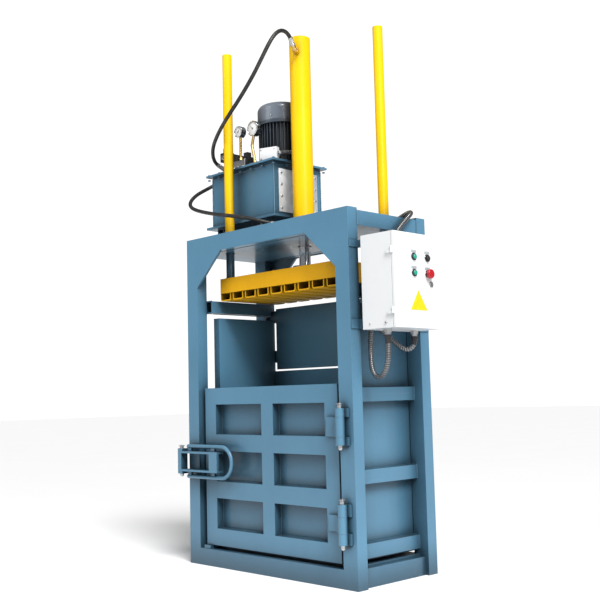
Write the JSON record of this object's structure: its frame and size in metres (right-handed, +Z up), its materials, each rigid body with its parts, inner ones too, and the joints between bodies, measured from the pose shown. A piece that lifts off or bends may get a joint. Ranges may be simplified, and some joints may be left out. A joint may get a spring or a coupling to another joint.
{
  "type": "vertical recycling baler",
  "caption": "Upright hydraulic baler: welded frame, swinging front door with clamp latch, strap-slotted platen on a ram with guide tubes, deck power unit and side control box.",
  "frame": {"origin": "on the floor, under the middle of the welded frame, on the underside of the middle floor bearer", "axes": "+X to the right seen from the door, +Y from the door to the back, +Z up"},
  "size_m": [1.5135, 0.595, 2.57],
  "materials": {
    "frame_paint": "satin blue-grey enamel",
    "tube_yellow": "gloss yellow enamel",
    "platen_yellow": "satin orange-yellow enamel",
    "motor_blue": "dark blue-grey enamel",
    "cowl_grey": "grey enamel",
    "box_white": "white powder coat",
    "bright_steel": "machined steel",
    "chrome": "hard chrome",
    "brass": "turned brass",
    "bronze": "cast bronze",
    "black_plastic": "moulded black",
    "green_plastic": "moulded green",
    "red_plastic": "moulded red",
    "hose_rubber": "wrapped rubber",
    "conduit_metal": "galvanised spiral",
    "gauge_steel": "polished case"
  },
  "bodies": {
    "frame": {"corner_posts": "frame_paint", "base_frame": "frame_paint", "floor_plate": "frame_paint", "portal_fascias": "frame_paint", "top_side_beams": "frame_paint", "deck_plate": "frame_paint", "side_wall_sheets": "frame_paint", "side_stiles": "frame_paint", "side_ribs": "frame_paint", "upper_side_rails": "frame_paint", "back_panels": "frame_paint", "back_ribs": "frame_paint", "frame_hinge_knuckles": "frame_paint", "pivot_pins": "bright_steel", "latch_lugs": "frame_paint", "cylinder_tube": "tube_yellow", "cylinder_gland": "bronze", "cylinder_flange": "frame_paint", "deck_bolts": "bright_steel", "guide_tubes": "tube_yellow", "guide_bushes": "bronze", "tank_body": "frame_paint", "tank_lid": "frame_paint", "tank_supports": "frame_paint", "oil_breather": "black_plastic", "gear_pump": "bright_steel", "motor_body": "motor_blue", "terminal_box": "box_white", "motor_cowl": "cowl_grey", "valve_block": "bright_steel", "solenoid_valves": "black_plastic", "pressure_gauges": "gauge_steel", "hydraulic_fittings": "brass", "hose_upper": "hose_rubber", "hose_lower": "hose_rubber", "conduit_motor": "conduit_metal", "conduit_switch": "conduit_metal", "conduit_glands": "bright_steel", "limit_switch": "black_plastic", "enclosure_body": "box_white", "enclosure_brackets": "frame_paint"},
    "platen": {"platen_frame": "platen_yellow", "strap_channels": "platen_yellow", "ram_rod": "chrome", "ram_piston": "bright_steel", "guide_rods": "frame_paint"},
    "door": {"door_frame": "frame_paint", "door_sheet": "frame_paint", "door_hinge_leaves": "frame_paint"},
    "latch": {"latch_clamp": "frame_paint", "latch_handle": "frame_paint"},
    "control_door": {"enclosure_door": "box_white", "button_collars": "black_plastic"},
    "green_button_upper": {"button_green_upper": "green_plastic"},
    "green_button_lower": {"button_green_lower": "green_plastic"},
    "black_button": {"button_black": "black_plastic"},
    "stop_button": {"emergency_stop": "red_plastic"},
    "lock": {"enclosure_lock": "bright_steel"},
    "rotor": {"motor_shaft": "bright_steel", "cooling_fan": "black_plastic"}
  },
  "joints": [
    {"name": "platen_stroke", "type": "slide", "parent": "frame", "child": "platen", "axis": [0, 0, 1], "range_m": [-0.86, 0]},
    {"name": "door_hinge", "type": "hinge", "parent": "frame", "child": "door", "pos_m": [0.504, -0.283, 0.5], "axis": [0, 0, 1], "range_deg": [0, 120]},
    {"name": "latch_pivot", "type": "hinge", "parent": "frame", "child": "latch", "pos_m": [-0.588, -0.286, 0.496], "axis": [0, 0, -1], "range_deg": [0, 150]},
    {"name": "control_door_hinge", "type": "hinge", "parent": "frame", "child": "control_door", "pos_m": [0.771, -0.231, 1.27], "axis": [0, 0, -1], "range_deg": [0, 120]},
    {"name": "green_button_upper_press", "type": "slide", "parent": "control_door", "child": "green_button_upper", "axis": [-1, 0, 0], "range_m": [0, 0.004], "stiffness_N_per_m": 600},
    {"name": "green_button_lower_press", "type": "slide", "parent": "control_door", "child": "green_button_lower", "axis": [-1, 0, 0], "range_m": [0, 0.004], "stiffness_N_per_m": 600},
    {"name": "black_button_press", "type": "slide", "parent": "control_door", "child": "black_button", "axis": [-1, 0, 0], "range_m": [0, 0.004], "stiffness_N_per_m": 600},
    {"name": "stop_button_press", "type": "slide", "parent": "control_door", "child": "stop_button", "axis": [-1, 0, 0], "range_m": [0, 0.005], "stiffness_N_per_m": 800},
    {"name": "lock_turn", "type": "hinge", "parent": "control_door", "child": "lock", "pos_m": [0.778, 0.014, 1.257], "axis": [-1, 0, 0], "range_deg": [0, 90]},
    {"name": "motor_spin", "type": "hinge", "parent": "frame", "child": "rotor", "pos_m": [-0.222, 0.1, 2], "axis": [0, 0, 1], "continuous": true}
  ]
}
